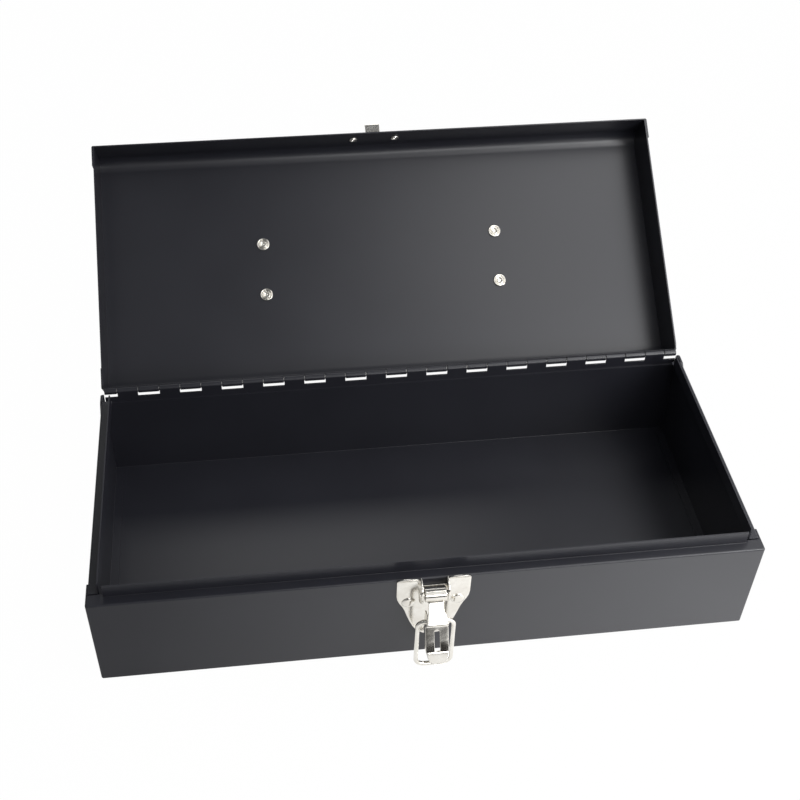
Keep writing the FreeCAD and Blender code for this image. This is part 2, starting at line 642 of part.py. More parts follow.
def lever_plan():
    """The lever seen from the front, with its finger end rounded."""
    bottom = HUB_HEIGHT - LEVER_END - LEVER_SHEET
    top = HUB_HEIGHT + HUB_RADIUS
    points = [(-LEVER_HALF, bottom), (LEVER_HALF, bottom), (LEVER_HALF, top), (-LEVER_HALF, top)]
    face = rounded_face(points, [LEVER_TIP_ROUND, LEVER_TIP_ROUND, 0, 0], in_xz(FRONT))
    return face.extrude(FreeCAD.Vector(0, -3 * HUB_STANDOFF, 0))


def lever_pin():
    half = WINDOW_HALF + LEVER_PIN_PROUD
    return rod_along_x(-half, half, HUB_Y, HUB_HEIGHT, LEVER_PIN_RADIUS)


def loop_pivot():
    """Where the tilted lever holds the wire loop."""
    tilt = math.radians(LEVER_TILT)
    return HUB_Y - LOOP_PIVOT * math.sin(tilt), HUB_HEIGHT - LOOP_PIVOT * math.cos(tilt)


def latch_loop():
    """Wire bent to a long loop, hanging from its two ends in the lever's cheeks."""
    y, z = loop_pivot()
    points = [(-LOOP_TAIL, z), (-LOOP_HALF, z), (-LOOP_HALF, z - LOOP_REACH),
              (LOOP_HALF, z - LOOP_REACH), (LOOP_HALF, z), (LOOP_TAIL, z)]
    radii = [LOOP_TOP_BEND, LOOP_BAR_BEND, LOOP_BAR_BEND, LOOP_TOP_BEND]
    return wire_rod(points, radii, WIRE_RADIUS, in_xz(y))


def hook_taper():
    """What comes off the +X edge of the keeper's tongue, so that it narrows toward its tip."""
    tip = FRONT - HOOK_REACH - OVERRUN
    points = [(HOOK_HALF, FRONT - KEEPER), (HOOK_TIP_HALF, FRONT - HOOK_NECK), (HOOK_TIP_HALF, tip),
              (HOOK_HALF + OVERRUN, tip), (HOOK_HALF + OVERRUN, FRONT - KEEPER)]
    face = rounded_face(points, [0] * len(points), in_xy(KEEPER_TOP - OVERRUN))
    return face.extrude(FreeCAD.Vector(0, 0, 3 * OVERRUN))


def keeper_hook():
    """A riveted plate whose middle tongue runs out and turns up to hold the loop's bar."""
    bottom = KEEPER_Z - KEEPER_HALF_HEIGHT
    points = [(-KEEPER_HALF, bottom), (KEEPER_HALF, bottom), (KEEPER_HALF, KEEPER_TOP),
              (-KEEPER_HALF, KEEPER_TOP)]
    radii = [KEEPER_CORNER] * 4
    plate = rounded_face(points, radii, in_xz(FRONT)).extrude(FreeCAD.Vector(0, -KEEPER, 0))
    relief = block(-HOOK_HALF, HOOK_HALF, FRONT - KEEPER - OVERRUN, FRONT + OVERRUN,
                   KEEPER_Z, KEEPER_TOP + OVERRUN)
    middle = FRONT - KEEPER / 2
    tip_y = FRONT - HOOK_REACH + KEEPER / 2
    path = [(middle, KEEPER_Z), (middle, KEEPER_TOP), (tip_y, KEEPER_TOP), (tip_y, KEEPER_TOP + HOOK_TIP)]
    tongue = sheet_face(path, KEEPER, HOOK_BEND, in_yz(-HOOK_HALF))
    tongue = tongue.extrude(FreeCAD.Vector(2 * HOOK_HALF, 0, 0)).cut([hook_taper(), mirrored(hook_taper())])
    holes = []
    for x in (-KEEPER_RIVET_X, KEEPER_RIVET_X):
        holes.append(rivet_hole(KEEPER_RIVET, (x, FRONT, KEEPER_Z), (0, 1, 0)))
    return opened(joined([plate.cut(relief), tongue]).cut(holes))


def saddle(x):
    """A strap over the handle's end, riveted to the lid on both sides of it."""
    half = SADDLE_SHEET / 2
    loop = HANDLE_RADIUS + SADDLE_CLEARANCE
    middle = loop + half
    foot_z = LID_TOP + half
    x0 = x - SADDLE_WIDTH / 2
    pieces = []
    for side in (-1, 1):
        points = [(HANDLE_Y + side * SADDLE_LENGTH / 2, foot_z), (HANDLE_Y + side * middle, foot_z),
                  (HANDLE_Y + side * middle, HANDLE_Z)]
        foot = sheet_face(points, SADDLE_SHEET, SADDLE_FOLD, in_yz(x0))
        pieces.append(foot.extrude(FreeCAD.Vector(SADDLE_WIDTH, 0, 0)))
    outside = loop + SADDLE_SHEET
    pieces.append(ring_sector(x0, x0 + SADDLE_WIDTH, HANDLE_Y, HANDLE_Z, loop, outside, 0, HALF_TURN_ANGLE))
    strap = joined(pieces)
    half_width = SADDLE_WIDTH / 2
    y0 = HANDLE_Y - SADDLE_LENGTH / 2
    y1 = HANDLE_Y + SADDLE_LENGTH / 2
    ends = [(x - half_width, y0), (x + half_width, y0), (x + half_width, y1), (x - half_width, y1)]
    plan = rounded_face(ends, [half_width * ROUND_END_SHARE] * 4, in_xy(LID_TOP))
    strap = strap.common(plan.extrude(FreeCAD.Vector(0, 0, HANDLE_RADIUS * 4)))
    holes = [rivet_hole(HANDLE_RIVET, (x, y, LID_TOP), (0, 0, 1)) for y in handle_rivet_rows()]
    return opened(strap.cut(holes))


def handle_bail():
    """A round steel bail, hanging straight down from the open lid."""
    end = SADDLE_X + SADDLE_WIDTH / 2 + HANDLE_STUB_PROUD
    top = HANDLE_Z + HANDLE_RISE
    points = [(-end, HANDLE_Z), (-HANDLE_LEG_X, HANDLE_Z), (-HANDLE_LEG_X, top),
              (HANDLE_LEG_X, top), (HANDLE_LEG_X, HANDLE_Z), (end, HANDLE_Z)]
    radii = [HANDLE_FOOT_BEND, HANDLE_GRIP_BEND, HANDLE_GRIP_BEND, HANDLE_FOOT_BEND]
    bail = wire_rod(points, radii, HANDLE_RADIUS, in_xz(HANDLE_Y))
    return opened(turned(bail, HANDLE_Y, HANDLE_Z, LID_OPEN_ANGLE - HALF_TURN_ANGLE))


def saddle_rivets(x):
    grip = SADDLE_SHEET + SHEET
    head_z = LID_TOP + SADDLE_SHEET
    return opened(Part.makeCompound([rivet_solid(HANDLE_RIVET, grip, (x, y, head_z), (0, 0, -1))
                                     for y in handle_rivet_rows()]))


def latch_rivets():
    rivets = []
    for x in (-LATCH_RIVET_X, LATCH_RIVET_X):
        rivets.append(rivet_solid(LATCH_RIVET, PLATE + SHEET, (x, FRONT - PLATE, LATCH_RIVET_Z), (0, 1, 0)))
    return Part.makeCompound(rivets)


def keeper_rivets():
    rivets = [rivet_solid(KEEPER_RIVET, KEEPER + SHEET, (x, FRONT - KEEPER, KEEPER_Z), (0, 1, 0))
              for x in (-KEEPER_RIVET_X, KEEPER_RIVET_X)]
    return opened(Part.makeCompound(rivets))


right_panel = end_panel()
NODES = {
    "body_shell": body_shell(),
    "end_panel_right": right_panel,
    "end_panel_left": mirrored(right_panel),
    "hinge_leaf_body": hinge_leaf_body(),
    "hinge_leaf_lid": hinge_leaf_lid(),
    "hinge_pin": hinge_pin(),
    "lid_shell": lid_shell(),
    "latch_base": latch_base(),
    "latch_rivets": latch_rivets(),
    "latch_lever": latch_lever(),
    "lever_pin": lever_pin(),
    "latch_loop": latch_loop(),
    "keeper_hook": keeper_hook(),
    "keeper_rivets": keeper_rivets(),
    "saddle_left": saddle(-SADDLE_X),
    "saddle_right": saddle(SADDLE_X),
    "saddle_rivets_left": saddle_rivets(-SADDLE_X),
    "saddle_rivets_right": saddle_rivets(SADDLE_X),
    "handle_bail": handle_bail(),
}

os.makedirs("parts", exist_ok=True)
for name, shape in NODES.items():
    shape.exportStep("parts/" + name + ".step")
    box = shape.BoundBox
    print(name, "solids", len(shape.Solids), "valid", shape.isValid(), "volume", round(shape.Volume, 1),
          "from", [round(v, 1) for v in (box.XMin, box.YMin, box.ZMin)],
          "to", [round(v, 1) for v in (box.XMax, box.YMax, box.ZMax)])
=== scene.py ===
# %% [markdown]
# # A flat steel tool box, standing open
# The box is folded from thin sheet steel and coated with black powder. Its lid hangs on a long
# piano hinge, and a bright draw latch sits on the front wall. The construction model already
# holds every sheet, wire and rivet at its real place, so this lesson starts from that frame and
# spends its effort on edges, metal forms, finishes and light.
# %% The frame
import json
import math

import bmesh
import bpy
from mathutils import Matrix, Vector


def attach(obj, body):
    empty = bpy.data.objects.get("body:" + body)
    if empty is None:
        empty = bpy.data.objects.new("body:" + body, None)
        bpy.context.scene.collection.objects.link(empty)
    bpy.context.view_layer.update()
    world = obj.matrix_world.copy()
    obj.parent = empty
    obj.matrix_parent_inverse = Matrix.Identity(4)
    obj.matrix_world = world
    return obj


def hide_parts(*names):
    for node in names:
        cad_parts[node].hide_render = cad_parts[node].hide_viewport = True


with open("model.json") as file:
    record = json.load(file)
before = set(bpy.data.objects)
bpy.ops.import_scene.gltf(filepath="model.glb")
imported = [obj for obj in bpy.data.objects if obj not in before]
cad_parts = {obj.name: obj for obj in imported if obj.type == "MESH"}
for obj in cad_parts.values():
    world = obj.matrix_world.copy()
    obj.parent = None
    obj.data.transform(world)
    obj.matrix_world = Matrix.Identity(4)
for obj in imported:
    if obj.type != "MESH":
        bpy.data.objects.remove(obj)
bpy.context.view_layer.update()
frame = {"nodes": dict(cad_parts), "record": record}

bodies = frame["record"]["behaviour"]["bodies"]
node_body = {node: body for body, members in bodies.items() for node in members}

# %% [markdown]
# ## Camera
# The picture was taken from the front, a little to the left, looking down by about 42 degrees.
# The camera could be pointed by a constraint, but a matrix built from the two angles also holds
# the slight roll of the hand-held camera. The small lens shift keeps the box where the picture
# has it without turning the camera away from it.
# %% Camera
AZIMUTH, ELEVATION, ROLL = (math.radians(a) for a in (-7.3309, 41.8559, 1.1185))
DISTANCE = 0.890555
AIM = Vector((0.0029867, 0.19647, -0.0141668))
SENSOR, LENS = 36, 55.0564
SHIFT_X, SHIFT_Y = 0.028378, -0.074535
NEAREST = 0.01

back = Vector((math.sin(AZIMUTH) * math.cos(ELEVATION),
               -math.cos(AZIMUTH) * math.cos(ELEVATION),
               math.sin(ELEVATION)))
level_right = (-back).cross(Vector((0, 0, 1))).normalized()
level_up = level_right.cross(-back)
right = level_right * math.cos(ROLL) + level_up * math.sin(ROLL)
up = level_up * math.cos(ROLL) - level_right * math.sin(ROLL)

camera = bpy.data.objects.new("camera", bpy.data.cameras.new("camera"))
bpy.context.scene.collection.objects.link(camera)
turn = Matrix((right, up, back)).transposed().to_4x4()
camera.matrix_world = Matrix.Translation(AIM + back * DISTANCE) @ turn
camera.data.sensor_width = SENSOR
camera.data.lens = LENS
camera.data.shift_x = SHIFT_X
camera.data.shift_y = SHIFT_Y
camera.data.clip_start = NEAREST
bpy.context.scene.camera = camera
bpy.context.scene.view_settings.view_transform = "Standard"
print("camera at", tuple(round(v, 4) for v in camera.matrix_world.translation))

# %% [markdown]
# ## Helpers for nodes and pieces
# A finish is a small network of nodes. One helper adds a node with its links and one sets numbers
# on its sockets, which keeps each material short enough to read. The others turn a bmesh into an
# object, hang a piece on the moving body that carries it, and pick out what an extrusion has made.
# %% Helpers
def add_node(tree, kind, links=(), **settings):
    """Adds a node; links are (input name or number, output socket) pairs."""
    node = tree.nodes.new(kind)
    for key, value in settings.items():
        setattr(node, key, value)
    for name, source in links:
        tree.links.new(source, node.inputs[name])
    return node


def set_inputs(node, **values):
    """Sets sockets by name, with _ for each blank."""
    for name, value in values.items():
        node.inputs[name.replace("_", " ")].default_value = value


def new_material(name):
    """A node material, with its tree and its main shader."""
    material = bpy.data.materials.new(name)
    material.use_nodes = True
    tree = material.node_tree
    return material, tree, tree.nodes["Principled BSDF"]


def object_from(bm, name, material, smooth=True):
    """Makes an object of the bmesh at the origin and gives it its material."""
    mesh = bpy.data.meshes.new(name)
    for face in bm.faces:
        face.smooth = smooth
    bm.to_mesh(mesh)
    bm.free()
    mesh.materials.append(material)
    made = bpy.data.objects.new(name, mesh)
    bpy.context.scene.collection.objects.link(made)
    return made


def finish_piece(name, bm, material, body, nodes):
    """Makes the piece, hangs it on its body and lets it stand for CAD nodes."""
    piece = object_from(bm, name, material)
    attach(piece, body)
    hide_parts(*nodes)
    print(name, len(piece.data.polygons), "faces")
    return piece


def newly_made(result, kind):
    """The vertices or edges that an extrusion has just made."""
    return [part for part in result["geom"] if isinstance(part, kind)]


# %% [markdown]
# ## White paper
# Small products are usually shot on white paper. Seen directly or in a mirror it is partly its
# own white, so it stays white, and the rest is lit, so the shadow stays too. A paper that only
# glowed would be simpler but would lose the shadow. In a mirror its glow is painted brighter to the
# right, a painted pool of light that stands in for lamp light from that side, and so the front
# wall, which mirrors the floor, grows lighter to the right too.
# %% White paper
CAMERA_WHITE, MIRROR_WHITE = 0.99, 0.85
# How the painted light in the paper's mirrored glow runs from dim on the left to bright on the right.
MIRROR_LEFT, MIRROR_RIGHT, MIRROR_SPAN = 0.40, 1.80, 0.16

paper, tree, shader = new_material("white_paper")
coords = add_node(tree, "ShaderNodeTexCoord")
mottle = add_node(tree, "ShaderNodeTexNoise", [("Vector", coords.outputs["Object"])])
set_inputs(mottle, Scale=3)
tint = add_node(tree, "ShaderNodeValToRGB", [("Fac", mottle.outputs["Fac"])])
tint.color_ramp.elements[0].color = (0.94, 0.94, 0.94, 1)
tint.color_ramp.elements[1].color = (0.97, 0.97, 0.97, 1)
tree.links.new(tint.outputs["Color"], shader.inputs["Base Color"])
set_inputs(shader, Roughness=0.9, Specular_IOR_Level=0.0)

rays = add_node(tree, "ShaderNodeLightPath")
sides = add_node(tree, "ShaderNodeSeparateXYZ", [(0, coords.outputs["Object"])])
# Painted light: the glow seen in mirrors is ramped brighter from left to right, in place of lamp light
# from the right.
painted_light_ramp = add_node(tree, "ShaderNodeMapRange", [("Value", sides.outputs["X"])])
set_inputs(painted_light_ramp, From_Min=-MIRROR_SPAN, From_Max=MIRROR_SPAN,
           To_Min=MIRROR_LEFT - 1, To_Max=MIRROR_RIGHT - 1)
mirrored = add_node(tree, "ShaderNodeMath", operation="MAXIMUM",
                    links=[(0, rays.outputs["Is Glossy Ray"]), (1, rays.outputs["Is Transmission Ray"])])
strength = add_node(tree, "ShaderNodeMath", operation="MULTIPLY_ADD",
                    links=[(0, mirrored.outputs[0]), (1, painted_light_ramp.outputs[0])])
strength.inputs[2].default_value = 1.0
glow = add_node(tree, "ShaderNodeEmission", [("Strength", strength.outputs[0])])
seen = add_node(tree, "ShaderNodeMath", operation="MULTIPLY", links=[(0, rays.outputs["Is Camera Ray"])])
seen.inputs[1].default_value = CAMERA_WHITE
reflected = add_node(tree, "ShaderNodeMath", operation="MULTIPLY", links=[(0, mirrored.outputs[0])])
reflected.inputs[1].default_value = MIRROR_WHITE
share = add_node(tree, "ShaderNodeMath", operation="MAXIMUM",
                 links=[(0, seen.outputs[0]), (1, reflected.outputs[0])])
whitened = add_node(tree, "ShaderNodeMixShader",
                    [(0, share.outputs[0]), (1, shader.outputs[0]), (2, glow.outputs[0])])
tree.links.new(whitened.outputs[0], tree.nodes["Material Output"].inputs["Surface"])
print("paper white in camera", CAMERA_WHITE, "in mirrors", MIRROR_WHITE)

# %% [markdown]
# ## The white room
# The paper hangs in a round room with a curved floor edge. A flat plane would show its horizon
# from low angles, so the room is one profile spun round: flat in the middle, curved up into a
# wall. It lies a little under the box, so that paper and sheet don't share one plane.
# %% The white room
ROOM_RADIUS, ROOM_CURVE, ROOM_HEIGHT, ROOM_STEPS = 2.6, 0.9, 1.5, 72
FLOOR_RING, BELOW_BOX = 0.6, 0.0003

bm = bmesh.new()
outline = [(0, 0), (FLOOR_RING, 0), (ROOM_RADIUS - ROOM_CURVE, 0)]
outline += [(ROOM_RADIUS - ROOM_CURVE * (1 - math.sin(t)), ROOM_CURVE * (1 - math.cos(t)))
            for t in (math.radians(15 * k) for k in range(1, 7))]
outline.append((ROOM_RADIUS, ROOM_HEIGHT))
profile = [bm.verts.new((x, 0, z)) for x, z in outline]
edges = [bm.edges.new(pair) for pair in zip(profile, profile[1:])]
bmesh.ops.spin(bm, geom=profile + edges, cent=(0, 0, 0), axis=(0, 0, 1), dvec=(0, 0, 0),
               angle=2 * math.pi, steps=ROOM_STEPS, use_merge=True)
bmesh.ops.translate(bm, verts=bm.verts, vec=(0, 0, -BELOW_BOX))
room = object_from(bm, "white_room", paper)
print("room radius", ROOM_RADIUS)

# %% [markdown]
# ## Sky
# The room has no ceiling. A low, even sky closes it and fills the shadows, and seen directly it is
# as white as the paper. A brighter sky would need fewer lamps but would turn the black paint grey.
# %% Sky
SKY_STRENGTH = 0.16

sky = bpy.data.worlds.new("sky")
bpy.context.scene.world = sky
sky.use_nodes = True
tree = sky.node_tree
dim = tree.nodes["Background"]
set_inputs(dim, Color=(0.93, 0.96, 1.0, 1), Strength=SKY_STRENGTH)
plain = add_node(tree, "ShaderNodeBackground")
set_inputs(plain, Color=(1, 1, 1, 1))
rays = add_node(tree, "ShaderNodeLightPath")
either = add_node(tree, "ShaderNodeMixShader",
                  [(0, rays.outputs["Is Camera Ray"]), (1, dim.outputs[0]), (2, plain.outputs[0])])
tree.links.new(either.outputs[0], tree.nodes["World Output"].inputs["Surface"])
print("sky strength", SKY_STRENGTH)

# %% [markdown]
# ## Softboxes
# Black paint shows little light of its own; what the eye reads is the softbox mirrored in it. One
# softbox over the right half of the lid makes the paint grow lighter from left to right, and a few
# weak ones lift the inside and the latch. A sun lamp would be seen in the paint as a hard dot.
# %% Softboxes
def softbox(name, place, aim, width, height, watts):
    """A rectangular lamp that faces a point."""
    lamp = bpy.data.lights.new(name, "AREA")
    lamp.shape = "RECTANGLE"
    lamp.size, lamp.size_y = width, height
    lamp.energy = watts
    holder = bpy.data.objects.new(name, lamp)
    bpy.context.scene.collection.objects.link(holder)
    toward = (Vector(aim) - Vector(place)).to_track_quat("-Z", "Y")
    holder.matrix_world = Matrix.Translation(place) @ toward.to_matrix().to_4x4()
    holder.visible_camera = False


# Name, place, the point it faces, width, height and watts.
SOFTBOXES = (
    ("softbox_overhead", (0.42, -0.15, 0.85), (0.2, 0.05, 0.1), 0.5, 0.6, 2.5),
    ("softbox_rear", (0.45, 0.25, 0.8), (0.15, 0.1, 0.1), 0.35, 0.35, 1.1),
    ("softbox_front_top", (0.50, -0.50, 0.80), (0.12, 0.15, 0.12), 0.26, 0.2, 1.5),
    ("softbox_lever", (0.1, -0.60, 0.9), (0.05, -0.1, 0.05), 0.34, 0.5, 0.5),
    ("softbox_low_right", (0.42, -0.35, 0.32), (0.22, -0.14, 0.0), 0.2, 0.2, 1.6),
    ("softbox_latch", (0.2, -0.75, 0.42), (0.05, -0.05, 0.06), 0.30, 0.28, 1.0),
    ("softbox_left", (-0.6, -0.2, 1.0), (0, 0, 0), 0.5, 0.5, 0.35),
    ("softbox_behind", (0, 0.9, 0.9), (0, 0, 0), 0.5, 0.5, 1.5),
)
for settings in SOFTBOXES:
    softbox(*settings)
print("softboxes", len(SOFTBOXES), "watts", round(sum(settings[-1] for settings in SOFTBOXES), 2))

# %% [markdown]
# ## A dark card
# Bright metal needs something dark to mirror, or it turns as white as the paper. A low felt card
# stands in front, out of the picture, and gives the latch lever its dark face. A black lamp or a
# darker floor would not do: the first gives nothing to mirror, and the second would be seen.
# %% Dark card's felt
felt, tree, shader = new_material("dark_felt")
set_inputs(shader, Roughness=1.0)
coords = add_node(tree, "ShaderNodeTexCoord")
fibre = add_node(tree, "ShaderNodeTexNoise", [("Vector", coords.outputs["Object"])])
set_inputs(fibre, Scale=300)
tone = add_node(tree, "ShaderNodeValToRGB", [("Fac", fibre.outputs["Fac"])])
tone.color_ramp.elements[0].color = (0.010, 0.009, 0.008, 1)
tone.color_ramp.elements[1].color = (0.020, 0.018, 0.016, 1)
tree.links.new(tone.outputs["Color"], shader.inputs["Base Color"])

# %% Dark card
CARD_X, CARD_DISTANCE, CARD_HALF, CARD_LOW, CARD_HIGH = 0.1, 0.62, 0.30, 0.004, 0.215

bm = bmesh.new()
bmesh.ops.create_grid(bm, x_segments=1, y_segments=1, size=0.5)
bmesh.ops.scale(bm, verts=bm.verts, vec=(2 * CARD_HALF, CARD_HIGH - CARD_LOW, 1))
bmesh.ops.rotate(bm, verts=bm.verts, cent=(0, 0, 0), matrix=Matrix.Rotation(math.radians(90), 3, "X"))
bmesh.ops.translate(bm, verts=bm.verts, vec=(CARD_X, -CARD_DISTANCE, (CARD_LOW + CARD_HIGH) / 2))
card = object_from(bm, "dark_card", felt, smooth=False)
card.visible_camera = False
print("card", CARD_DISTANCE, "m in front, up to", CARD_HIGH, "m")

# %% [markdown]
# ## Black powder coat
# Powder coat is a cured plastic skin: nearly black, satin, with a fine orange-peel texture of
# about half a millimetre. Two noises do it: a wide one shifts the colour and the gloss a little
# from place to place, and a fine one raises the grain.
# %% Powder coat
paint, tree, shader = new_material("black_powder_coat")
coords = add_node(tree, "ShaderNodeTexCoord")
cloud = add_node(tree, "ShaderNodeTexNoise", [("Vector", coords.outputs["Object"])])
set_inputs(cloud, Scale=14, Detail=4)
tone = add_node(tree, "ShaderNodeValToRGB", [("Fac", cloud.outputs["Fac"])])
tone.color_ramp.elements[0].position = 0.3
tone.color_ramp.elements[0].color = (0.0165, 0.0168, 0.0225, 1)
tone.color_ramp.elements[1].position = 0.7
tone.color_ramp.elements[1].color = (0.0205, 0.0210, 0.0275, 1)
tree.links.new(tone.outputs["Color"], shader.inputs["Base Color"])
grain = add_node(tree, "ShaderNodeTexNoise", [("Vector", coords.outputs["Object"])])
set_inputs(grain, Scale=1900, Detail=2)
gloss = add_node(tree, "ShaderNodeMapRange", [("Value", cloud.outputs["Fac"])])
set_inputs(gloss, To_Min=0.30, To_Max=0.36)
tree.links.new(gloss.outputs[0], shader.inputs["Roughness"])
peel = add_node(tree, "ShaderNodeBump", [("Height", grain.outputs["Fac"])])
set_inputs(peel, Strength=0.25, Distance=0.00003)
tree.links.new(peel.outputs[0], shader.inputs["Normal"])
print("finish", paint.name)

# %% [markdown]
# ## Bright nickel
# The latch, the keeper and the rivets are pressed steel with a warm bright nickel plate. The
# plate mirrors the room, so its look is mostly a slight waviness from pressing, faint rub marks
# and a gloss that changes by a few hundredths.
# %% Nickel plate
nickel, tree, shader = new_material("bright_nickel")
coords = add_node(tree, "ShaderNodeTexCoord")
haze = add_node(tree, "ShaderNodeTexNoise", [("Vector", coords.outputs["Object"])])
set_inputs(haze, Scale=160, Detail=5)
tone = add_node(tree, "ShaderNodeValToRGB", [("Fac", haze.outputs["Fac"])])
tone.color_ramp.elements[0].position = 0.3
tone.color_ramp.elements[0].color = (0.72, 0.69, 0.63, 1)
tone.color_ramp.elements[1].position = 0.7
tone.color_ramp.elements[1].color = (0.82, 0.80, 0.75, 1)
tree.links.new(tone.outputs["Color"], shader.inputs["Base Color"])
set_inputs(shader, Metallic=1.0)
gloss = add_node(tree, "ShaderNodeMapRange", [("Value", haze.outputs["Fac"])])
set_inputs(gloss, To_Min=0.10, To_Max=0.20)
tree.links.new(gloss.outputs[0], shader.inputs["Roughness"])
wave = add_node(tree, "ShaderNodeTexNoise", [("Vector", coords.outputs["Object"])])
set_inputs(wave, Scale=260, Detail=1)
press = add_node(tree, "ShaderNodeBump", [("Height", wave.outputs["Fac"])])
set_inputs(press, Strength=0.35, Distance=0.0001)
tree.links.new(press.outputs[0], shader.inputs["Normal"])
print("finish", nickel.name)

# %% [markdown]
# ## Drawn steel for the pins
# A hinge pin is drawn wire, so its marks run along its length. Squeezing the noise across the
# pin gives those long streaks.
# %% Drawn steel
steel, tree, shader = new_material("drawn_steel")
coords = add_node(tree, "ShaderNodeTexCoord")
along = add_node(tree, "ShaderNodeMapping", [("Vector", coords.outputs["Object"])])
set_inputs(along, Scale=(40, 3000, 3000))
streaks = add_node(tree, "ShaderNodeTexNoise", [("Vector", along.outputs[0])])
set_inputs(streaks, Scale=1)
tone = add_node(tree, "ShaderNodeValToRGB", [("Fac", streaks.outputs["Fac"])])
tone.color_ramp.elements[0].color = (0.40, 0.39, 0.38, 1)
tone.color_ramp.elements[1].color = (0.60, 0.59, 0.57, 1)
tree.links.new(tone.outputs["Color"], shader.inputs["Base Color"])
set_inputs(shader, Metallic=1.0)
gloss = add_node(tree, "ShaderNodeMapRange", [("Value", streaks.outputs["Fac"])])
set_inputs(gloss, To_Min=0.25, To_Max=0.40)
tree.links.new(gloss.outputs[0], shader.inputs["Roughness"])
score = add_node(tree, "ShaderNodeBump", [("Height", streaks.outputs["Fac"])])
set_inputs(score, Strength=0.2, Distance=0.00002)
tree.links.new(score.outputs[0], shader.inputs["Normal"])
print("finish", steel.name)

# %% [markdown]
# ## Sheets with real edges
# A cut sheet never has a perfectly sharp edge, and coated edges are rounder still: that thin
# round catches a line of light all along the box. A bevel cut into each mesh would do it too, but
# a Bevel modifier keeps the mesh plain, and a weighted normal after it keeps the flats flat.
# %% Rounded edges
def soften(piece, width, segments, angle):
    """Rounds the edges that are sharper than the angle and keeps the flats flat."""
    bevel = piece.modifiers.new("edge_round", "BEVEL")
    bevel.width = width
    bevel.segments = segments
    bevel.limit_method = "ANGLE"
    bevel.angle_limit = math.radians(angle)
    even = piece.modifiers.new("flat_faces", "WEIGHTED_NORMAL")
    even.mode = "FACE_AREA"
    even.weight = 50
    even.keep_sharp = True


# %% [markdown]
# ## The sheets, the wire and the hook
# Their solids already have every bend and fold, so nothing is drawn anew. Each piece is a merged
# copy of its solid whose triangles are joined into flat faces, and then its edges are rounded.
# %% Sheet pieces
SAME_POINT, FLAT_BELOW = 2e-6, 1.0
PAINTED_EDGE, PLATED_EDGE, SHARP_ABOVE = 0.00018, 0.00025, 40


def sheet_piece(node, material, edge, segments):
    """A merged copy of a CAD node with its edges rounded by the given width in metres."""
    bm = bmesh.new()
    bm.from_mesh(frame["nodes"][node].data)
    bmesh.ops.remove_doubles(bm, verts=bm.verts, dist=SAME_POINT)
    bmesh.ops.dissolve_limit(bm, angle_limit=math.radians(FLAT_BELOW), verts=bm.verts, edges=bm.edges)
    piece = finish_piece(node + "_sheet", bm, material, node_body[node], [node])
    soften(piece, edge, segments, SHARP_ABOVE)


for node in ("body_shell", "end_panel_left", "end_panel_right", "lid_shell", "hinge_leaf_body",
             "hinge_leaf_lid", "saddle_left", "saddle_right", "handle_bail"):
    sheet_piece(node, paint, PAINTED_EDGE, segments=2)
for node in ("latch_loop", "keeper_hook"):
    sheet_piece(node, nickel, PLATED_EDGE, segments=3)

# %% [markdown]
# ## Places on the latch and the lid
# The latch is drawn in millimetres from the front wall's face and from the lever's pin, the way a
# toolmaker measures it. The lid's pieces are drawn with the lid shut and then swung open about the
# hinge pin, so their numbers stay plain. That swing is read from the joint in the record.
# %% Places
MM = 0.001
FRONT_Y, LID_TOP_Z = -77.25, 92.4
HUB_Y, HUB_Z, LEVER_TILT = -82.75, 58.3, 27.0
PLATE_SHEET = 1.0
joints = {joint["name"]: joint for joint in frame["record"]["behaviour"]["joints"]}
hinge = Vector(joints["lid_hinge"]["pos_m"])
lid_turn = math.radians(-joints["lid_hinge"]["range_deg"][1])
LID_OPEN = Matrix.Translation(hinge) @ Matrix.Rotation(lid_turn, 4, "X") @ Matrix.Translation(-hinge)
STAYS = Matrix.Identity(4)
print("lid swung by", round(math.degrees(lid_turn), 1))

# %% [markdown]
# ## Tubular rivets
# A tubular rivet has a low dome outside, and its hollow end is rolled over into a bright ring with
# a small bore in the middle. It is a turned form, so one profile is spun round its axis. The ring,
# the groove inside it and the bore are what make it read as a rivet and not as a button.
# %% Rivet profiles
# Distance from the axis as a share of the tail's radius, and height as a share of its curl.
TAIL_PROFILE = ((1.0, 0.0), (1.0, 0.45), (0.95, 0.78), (0.86, 0.92), (0.78, 0.74), (0.73, 0.28),
                (0.67, 0.08), (0.60, 0.12), (0.565, 0.70), (0.50, 0.98), (0.42, 0.94), (0.35, 0.45),
                (0.30, 0.05), (0.14, 0.0), (0.0, 0.3))
# The same for the head, as shares of its radius and of its dome.
DOME_PROFILE = ((0.0, 1.0), (0.35, 0.96), (0.62, 0.85), (0.82, 0.68), (0.94, 0.5), (1.0, 0.34),
                (0.96, 0.0))
RIVET_STEPS, RIVET_WELD = 28, 1e-6
print("points in the rivet's profile", len(DOME_PROFILE) + len(TAIL_PROFILE))


